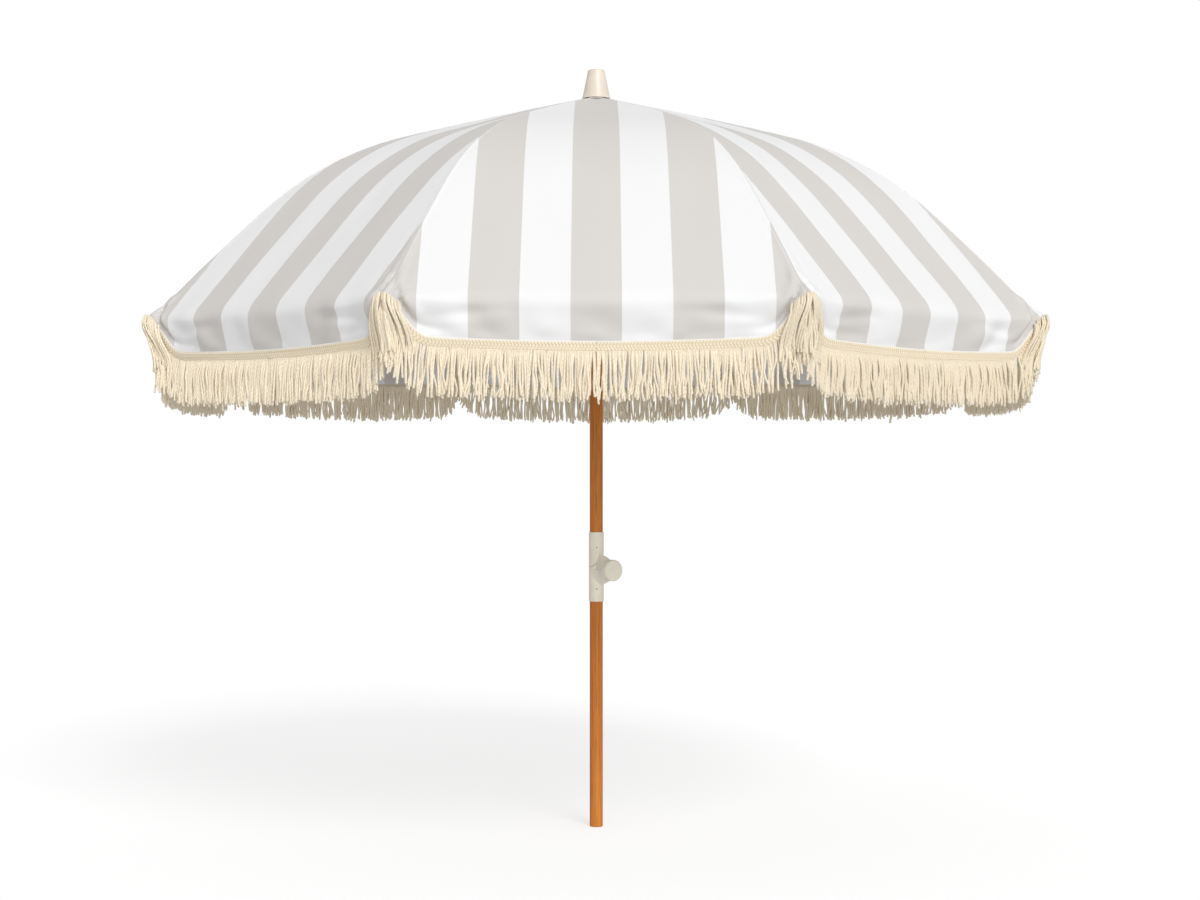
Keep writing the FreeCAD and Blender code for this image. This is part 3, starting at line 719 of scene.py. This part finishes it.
def makeCanopy():
    # each rib carries the two half panels beside it, in bands
    middle = len(shares) // 2
    for rib in range(1, ribCount + 1):
        before, after = rib - 1, rib % ribCount
        join = lambda a: np.concatenate([a[before][:, middle:], a[after][:, 1:middle + 1]], axis=1)
        points, normals, uv, gap = (join(a) for a in (clothPoints, clothNormals, clothUv, clothGap))
        for i, (first, last) in enumerate(zip(bands[:-1], bands[1:])):
            part = slice(first, last + 1)
            piece = shell(
                f"canopyCloth_{rib}_{i + 1}", points[part], normals[part], cloth["thick"],
                uv[part], finish["cloth"], {"ribDistance": gap[part]},
            )
            row = (first + last) // 2
            seam = points[row, middle]
            keep = foldedKeep(math.hypot(seam[0], seam[1]), seam[2])
            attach(piece, f"rib_{rib}")
            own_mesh(piece)
            if i == 0:
                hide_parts(f"canopy_panel_{rib}")
            flat, area = flatSize(points[part])


makeCanopy()
print("canopy made")


def makeValance(panel, side):
    # half a panel's cloth below the bend, which hangs from its rib's tip
    rib = panel + 1 if side > 0 else (panel or ribCount)
    middle = len(shares) // 2
    columns = slice(middle, None) if side > 0 else slice(0, middle + 1)
    part = (slice(cutRow, None), columns)
    points, normals, uv, gap = (a[panel][part] for a in (clothPoints, clothNormals, clothUv, clothGap))
    piece = shell(
        f"valanceCloth_{rib}_{'left' if side > 0 else 'right'}", points, normals, cloth["thick"],
        uv, finish["cloth"], {"ribDistance": gap + hem["unstitched"]},
    )
    return rib, piece, points


# fringe: a bound braid along the hem, and twisted strands hanging from it
fringe = {
    "braid": 0.019,
    "braidThick": 0.0042,
    "length": 0.094,
    "spacing": 0.0027,
    "radius": 0.0024,
    "sides": 6,
    "rings": 9,
    "rowGap": 0.0030,
    "endRound": 0.0012,
    "tuftStrands": 15,
    "tuftHalf": 0.034,
    "tuftLength": 0.110,
    "seed": 1000,
    "stand": 0.0012,
    "tape": 0.0052,
    "finePoints": 2500,  # the hem's line is worked out at this many
    "overHem": 0.004,  # how far the braid's upper edge lies above the hem
    "taperAt": (0, 0.1, 0.9, 1.0),  # places down a strand, and its thickness there
    "taper": (0.8, 1.0, 1.05, 0.80),
    "uneven": 0.08,  # spread of the strands' thickness
    "lastRing": 0.985,  # the end closes over the last bit of the strand
}


def hemLine(count):
    # points along the braid's upper edge, evenly spaced by its own length: distance from the tip, and height
    d = np.linspace(0.0, halfChord, fringe["finePoints"])
    z = creaseZ + fringe["overHem"] - hemDrop(d)
    length = np.concatenate([[0.0], np.cumsum(np.hypot(np.diff(d), np.diff(z)))])
    t = np.linspace(0.0, length[-1], count)
    return t, np.interp(t, length, d), np.interp(t, length, z)


def hung(panel, side, fromTip, out, z):
    # a point on the valance's plane, moved outwards, mitred at the rib's plane; it leans in as the cloth does,
    # and the fringe below hangs straight
    x = planeX + out + hem["bulge"] * hill(fromTip, hem["bulgeReach"])
    x = x - hem["lean"] * np.clip(creaseZ - z - hem["leanFrom"], 0.0, hem["leanOver"])
    y = side * (halfChord - fromTip) * x / planeX
    return toWorld(np.stack(np.broadcast_arrays(x, y, z), axis=-1), panelAngle(panel))


def downStrand():
    # the places of a strand's rings: evenly spaced, and the last one close behind
    return np.append(np.linspace(0, fringe["lastRing"], fringe["rings"] - 1), 1.0)[None, :]


plait = {
    "step": 0.0016,  # between its points along the hem, and how many there are across
    "across": 13,
    "middle": 0.45,  # where its slants meet, as a share of its height
    "slant": 1.7,  # turns of the pattern over its height
    "rows": (0.55, 0.45),  # the least height of the three rows, and how much their swing adds
    "lumps": (0.45, 0.55),  # the same for the lumps
    "square": 6,  # the power that gives its section flat faces
}


def braidBand(panel, side):
    # its thickness is a cosine along it, whose phase slants both ways from its middle, times a squared sine
    # across and a rounded section
    t, d, z = hemLine(int(halfChord / plait["step"]))
    slope = np.arctan2(np.gradient(z, t), np.gradient(d, t))
    q = np.linspace(0, 1, plait["across"])
    # across the braid: the upper edge is the hem, and the band goes down square to it
    pitch = cotton["braidPitch"]
    phase = t[:, None] / pitch + np.abs(q[None, :] - plait["middle"]) * plait["slant"]
    lump = 0.5 + 0.5 * np.cos(2 * math.pi * phase)
    least, swing = plait["rows"]
    lump = lump * (least + swing * np.sin(np.clip(q, 0, 1) * math.pi * 3)[None, :] ** 2)
    crown = np.sqrt(np.clip(1 - (2 * q - 1) ** plait["square"], 0, 1))[None, :]
    least, swing = plait["lumps"]
    out = fringe["stand"] + fringe["braidThick"] * crown * (least + swing * lump)
    dd = d[:, None] + np.sin(slope)[:, None] * q[None, :] * fringe["braid"]
    zz = z[:, None] - np.cos(slope)[:, None] * q[None, :] * fringe["braid"]
    dd = np.maximum(dd, 0.0)
    front = hung(panel, side, dd, out, zz)
    back = hung(panel, side, dd, fringe["stand"] + 0 * out, zz)
    return t, q, front, back, lump * crown


def cordTubes(name, panel, runs):
    # each strand is a tube of a few sides: rings of points round its line, closed by a small cap at both ends
    a = panelAngle(panel)
    outWay = np.array([math.cos(a), math.sin(a), 0.0])
    sideWay = np.array([-math.sin(a), math.cos(a), 0.0])
    sides, rings = fringe["sides"], fringe["rings"]
    angle = np.linspace(0, 2 * math.pi, sides, endpoint=False)
    circle = np.cos(angle)[:, None] * outWay + np.sin(angle)[:, None] * sideWay
    taper = np.interp(np.linspace(0, 1, rings), fringe["taperAt"], fringe["taper"])
    each = rings * sides + 2
    i, j = np.meshgrid(np.arange(rings - 1), np.arange(sides), indexing="ij")
    after = (j + 1) % sides
    this, below = i * sides, (i + 1) * sides
    tube = np.stack([this + j, below + j, below + after, this + after], axis=-1)
    k = np.arange(0, sides, 2)
    last = (rings - 1) * sides
    top = np.stack([np.full(len(k), each - 2), k, (k + 1) % sides, (k + 2) % sides], axis=-1)
    end = np.full(len(k), each - 1)
    low = np.stack([end, last + (k + 2) % sides, last + (k + 1) % sides, last + k], axis=-1)
    one = np.concatenate([tube.reshape(-1, 4), top, low])
    allPoints, allUv = [], []
    for centre, long, down, rng in runs:
        count = len(centre)
        size = fringe["radius"] * (1 + rng.normal(0, fringe["uneven"], count))[:, None] * taper[None, :]
        points = centre[:, :, None, :] + size[:, :, None, None] * circle[None, None]
        ends = np.stack([centre[:, 0], centre[:, -1] - [0, 0, fringe["endRound"]]], axis=1)
        allPoints.append(np.concatenate([points.reshape(count, -1, 3), ends], axis=1).reshape(-1, 3))
        around = np.broadcast_to((np.arange(sides) / sides)[None, None, :], (count, rings, sides))
        along = np.broadcast_to((long * down)[:, :, None], (count, rings, sides))
        along = along + rng.uniform(0, cotton["twist"], count)[:, None, None]
        uv = np.stack([around, along], axis=-1).reshape(count, -1, 2)
        allUv.append(np.concatenate([uv, np.zeros((count, 2, 2))], axis=1).reshape(-1, 2))
    points = np.concatenate(allPoints)
    quads = (one[None] + each * np.arange(len(points) // each)[:, None, None]).reshape(-1, 4)
    return makeMesh(name, points, quads, np.concatenate(allUv), finish["cord"])


strand = {
    "hemPoints": 1200,
    "from": 0.92,  # where it leaves the braid, as a share of the braid's height
    "shuffle": 0.0007,  # random spreads: its place, its length, its lean, its curl and the turns of that
    "lengths": 0.05,
    "leans": 0.0045,
    "curls": 0.0030,
    "beats": (0.7, 1.5),
    "clumps": ((0.0045, 0.041), (0.004, 0.017)),  # height and wave length of two waves along the hem
    "swing": (0.012, 5),  # how far it swings off a sloping braid, and how soon
    "leanPower": 1.3,
    "depths": (-0.0015, 0.0045),
    "out": (0.0020, 2.5),  # how far out it begins, and how soon it reaches its own depth
    "sways": 0.002,
}


def strands(panel, side, seed):
    # a strand's line runs down from the braid, moved sideways by a power of the way down and by a sine that
    # grows, and outwards by an S and half a slow sine
    rng = np.random.default_rng(seed)
    t, d, z = hemLine(strand["hemPoints"])
    count = int(t[-1] / fringe["spacing"])
    at = (np.arange(count) + 0.5) * fringe["spacing"] + rng.normal(0, strand["shuffle"], count)
    slope = np.arctan2(np.gradient(z, t), np.gradient(d, t))
    tilt = np.interp(at, t, slope)
    d0 = np.interp(at, t, d) + np.sin(tilt) * fringe["braid"] * strand["from"]
    z0 = np.interp(at, t, z) - np.cos(tilt) * fringe["braid"] * strand["from"]
    down = downStrand()
    long = fringe["length"] * (1 + rng.normal(0, strand["lengths"], count))[:, None]
    # strands lean in loose clumps: a slow wave along the hem plus each strand's own lean and curl
    (high, wave), (small, short) = strand["clumps"]
    clump = high * np.sin(at * 2 * math.pi / wave + rng.uniform(0, 6.28))
    clump = clump + small * np.sin(at * 2 * math.pi / short)
    lean = (clump + rng.normal(0, strand["leans"], count))[:, None]
    curl = rng.normal(0, strand["curls"], count)[:, None]
    beat = rng.uniform(*strand["beats"], count)[:, None]
    far, soon = strand["swing"]
    start = np.sin(tilt)[:, None] * far * (1 - np.exp(-down * soon))
    curling = curl * np.sin(down * math.pi * 2 * beat) * down
    dd = d0[:, None] + lean * down ** strand["leanPower"] + curling + start
    depth = rng.uniform(*strand["depths"], count)[:, None]
    row = (np.arange(count) % 2)[:, None]  # a front row and a back row, one behind the other's gaps
    depth = depth + fringe["rowGap"] * (1 - row)
    first, soon = strand["out"]
    sway = rng.normal(0, strand["sways"], count)[:, None]
    out = first + depth * smooth(down * soon) + sway * np.sin(down * math.pi * 1.5)
    zz = z0[:, None] - long * down
    centre = hung(panel, side, dd, out, zz)
    return centre, long, down, rng


tuftShape = {
    "from": 0.0012,  # the first strand's distance from the rib
    "shuffle": 0.0008,  # random spreads, in the order of their use
    "lengths": 0.06,
    "drifts": 0.004,
    "bows": 0.002,
    "above": 0.007,  # the tops lie this far above the crease at the tip
    "follow": 0.55,  # and follow the hem down by this share
    "spread": (0.010, 0.12, 1.6),  # sideways: at the rib, more for each metre from it, how soon
    "bow": (0.0065, 0.0085, 2.6),  # outwards: at the top, the swell over the braid, how soon
    "fallBack": (0.010, 0.25),  # how far it comes back in, and from where
}


def tuft(panel, side, seed):
    # strands sewn on round the rib's tip: each goes out over the braid, then hangs, spreading a little sideways
    rng = np.random.default_rng(seed)
    count = fringe["tuftStrands"]
    places = np.linspace(tuftShape["from"], fringe["tuftHalf"], count)
    d0 = np.abs(places + rng.normal(0, tuftShape["shuffle"], count))[:, None]
    down = downStrand()
    long = fringe["tuftLength"] * (1 + rng.normal(0, tuftShape["lengths"], count))[:, None]
    top = creaseZ + tuftShape["above"] - hemDrop(d0[:, 0])[:, None] * tuftShape["follow"]
    least, grow, soon = tuftShape["spread"]
    drift = rng.normal(0, tuftShape["drifts"], count)[:, None]
    spread = (least + grow * d0) * smooth(down * soon) + drift * down
    first, swell, soon = tuftShape["bow"]
    bow = first + swell * np.sin(np.clip(down * soon, 0, 1) * math.pi / 2)
    bow = bow + rng.normal(0, tuftShape["bows"], count)[:, None]
    back, begin = tuftShape["fallBack"]
    out = bow - back * smooth((down - begin) / (1 - begin))
    centre = hung(panel, side, d0 + spread, out, top - long * down)
    return centre, long, down, rng


tapeShape = {"step": 0.004, "across": 7, "above": 0.0016, "out": 0.0006, "round": 0.0022, "back": 0.0004}


def tape(panel, side):
    # a narrow white tape along the braid's upper edge: half an ellipse carried along it
    t, d, z = hemLine(int(halfChord / tapeShape["step"]))
    slope = np.arctan2(np.gradient(z, t), np.gradient(d, t))
    q = np.linspace(0, 1, tapeShape["across"])
    shift = tapeShape["above"] - q * fringe["tape"]
    dd = np.maximum(d[:, None] - np.sin(slope)[:, None] * shift, 0.0)
    zz = z[:, None] + np.cos(slope)[:, None] * shift
    arch = np.sqrt(np.clip(1 - (2 * q - 1) ** 2, 0, 1))[None, :]
    out = tapeShape["out"] + tapeShape["round"] * arch + 0 * dd
    uv = np.stack([t[:, None] + 0 * q, q[None, :] * fringe["tape"] + 0 * dd], axis=-1)
    return hung(panel, side, dd, out, zz), hung(panel, side, dd, tapeShape["back"] + 0 * dd, zz), uv


def hangTogether(piece, rib):
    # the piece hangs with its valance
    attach(piece, f"valance_{rib}")
    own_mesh(piece)


def makeEdges():
    # cloth, braid, tape and cords of every half valance
    for panel in range(ribCount):
        for side in (1, -1):
            rib, skirt, points = makeValance(panel, side)
            end = "left" if side > 0 else "right"
            t, q, front, back, high = braidBand(panel, side)
            uv = np.stack([t[:, None] + 0 * high, q[None, :] * fringe["braid"] + 0 * high], axis=-1)
            braid = slab(f"fringeBraid_{rib}_{end}", front, back, uv, finish["braid"],
                         attributes={"braidHeight": high})
            tapeFront, tapeBack, tapeUv = tape(panel, side)
            binding = slab(f"hemTape_{rib}_{end}", tapeFront, tapeBack, tapeUv, finish["binding"])
            seed = fringe["seed"] + 2 * panel + (side > 0)
            runs = [strands(panel, side, seed), tuft(panel, side, seed + 500)]
            cords = cordTubes(f"fringeStrands_{rib}_{end}", panel, runs)
            for piece in (skirt, braid, binding, cords):
                hangTogether(piece, rib)
                "fringe_cotton" if piece in (braid, cords) else "canopy_cloth"
            if side > 0:
                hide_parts(f"fringed_valance_{rib}")
            flat, area = flatSize(points)


makeEdges()
print("valance and fringe made")


# crown patch
patch = {
    "inner": 0.014,
    "outer": 0.048,
    "above": 0.0015,  # how far it stands off the panels at its inner edge, and at its outer one
    "edge": 0.0009,
    "dip": 0.0008,  # how far the middle of each flat sinks
    "thick": 0.0005,
    "around": 97,
    "rings": 14,
}


def makePatch():
    # a round of cloth over the panels' tops: its height falls as a straight line with the distance out to
    # the flats of their octagon, less a squared dip in the middle of each
    angle = np.linspace(0, 2 * math.pi, patch["around"])
    radius = np.linspace(patch["inner"], patch["outer"], patch["rings"])
    slope = math.tan(math.radians(cloth["slopes"][0]))
    lift = np.interp(radius, [patch["inner"], patch["outer"]], [patch["above"], patch["edge"]])
    fromMiddle = (angle + math.pi / 2 + halfPanel) % (2 * halfPanel) - halfPanel
    reach = radius[:, None] * np.cos(fromMiddle) / math.cos(halfPanel)
    dip = patch["dip"] * (radius / patch["outer"])[:, None] * (1 - (fromMiddle / halfPanel) ** 2)
    z = cloth["top"] + lift[:, None] - reach * slope - dip
    points = np.stack([radius[:, None] * np.cos(angle), radius[:, None] * np.sin(angle), z], axis=-1)
    normals = upwards(normalsOf(points))
    uv = np.stack([radius[:, None] * angle[None, :], radius[:, None] + 0 * angle], axis=-1)
    piece = shell("crownPatch", points, normals, patch["thick"], uv, finish["white"])
    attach(piece, "upper")
    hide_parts("crown_patch")


makePatch()
print("crown patch made")


# stage
stage = {
    "sky": 0.57,  # strength of the upper half of the surroundings
    "ground": 0.58,  # and of the lower half
    "horizon": (-0.25, 0.1),  # the heights of a direction between which one turns into the other
    "lights": {  # each one's strength, the way it comes from and its apparent size in degrees
        "key": (1.20, (2.0, -4.6, 3.6), 24.0),
        "lowFill": (0.85, (1.0, -5.0, 0.75), 24.0),
    },
    "floorGlow": 0.53,  # the floor is mostly its own pale light, so that shadows on it stay faint
    "floorTone": 0.60,
    "floorHalf": 40.0,
    "lens": 58.98,
    "camera": (0.0, -4.807, 0.888),
    "shift": (0.0031, 0.0108),
}


def makeFloor():
    # a flat square, seen only by the camera
    size = stage["floorHalf"]
    corners = [(-size, -size, 0), (size, -size, 0), (size, size, 0), (-size, size, 0)]
    mesh = bpy.data.meshes.new("floor")
    mesh.from_pydata(corners, [], [(0, 1, 2, 3)])
    floor = bpy.data.objects.new("floor", mesh)
    bpy.context.scene.collection.objects.link(floor)
    tone = stage["floorTone"]
    shade = Shade("paleFloor", Roughness=1.0, Specular_IOR_Level=0.0, Base_Color=(tone, tone, tone, 1.0),
                  Emission_Color=(1.0, 1.0, 1.0, 1.0), Emission_Strength=stage["floorGlow"])
    mesh.materials.append(shade.material)
    floor.visible_diffuse = False
    floor.visible_glossy = False


def makeWorld():
    # soft light from all round, its strength a straight line in the direction's height, and plain white
    # where the camera looks past the floor
    world = bpy.data.worlds.new("studio")
    bpy.context.scene.world = world
    tree = NodeTree(world)
    direction = tree.add("ShaderNodeTexCoord", out="Generated")
    upward = tree.add("ShaderNodeSeparateXYZ", None, {0: direction}, out="Z")
    low, high = stage["horizon"]
    strength = tree.add("ShaderNodeMapRange", None, {
        "Value": upward, "From Min": low, "From Max": high, "To Min": stage["ground"], "To Max": stage["sky"],
    })
    white = (1.0, 1.0, 1.0, 1.0)
    glow = tree.add("ShaderNodeBackground", None, {"Color": white, "Strength": strength})
    seen = tree.add("ShaderNodeBackground", None, {"Color": white})
    fromCamera = tree.add("ShaderNodeLightPath", out="Is Camera Ray")
    both = tree.add("ShaderNodeMixShader", None, {0: fromCamera, 1: glow, 2: seen})
    tree.links.new(both.socket, tree.nodes["World Output"].inputs["Surface"])


def makeStage():
    # floor, surroundings, two broad suns and the camera
    makeFloor()
    makeWorld()
    for name, (strength, place, width) in stage["lights"].items():
        light = bpy.data.lights.new(name, "SUN")
        light.energy = strength
        light.angle = math.radians(width)
        lamp = bpy.data.objects.new(name, light)
        lamp.location = place
        lamp.rotation_euler = (-Vector(place)).to_track_quat("-Z", "Y").to_euler()
        bpy.context.scene.collection.objects.link(lamp)

    data = bpy.data.cameras.new("camera")
    data.lens = stage["lens"]
    data.sensor_width = 36.0
    data.shift_x, data.shift_y = stage["shift"]
    data.clip_end = 200
    camera = bpy.data.objects.new("camera", data)
    camera.location = stage["camera"]
    camera.rotation_euler = (math.radians(90), 0, 0)
    bpy.context.scene.collection.objects.link(camera)
    bpy.context.scene.camera = camera
    bpy.context.scene.view_settings.view_transform = "Standard"


makeStage()
print("stage made")
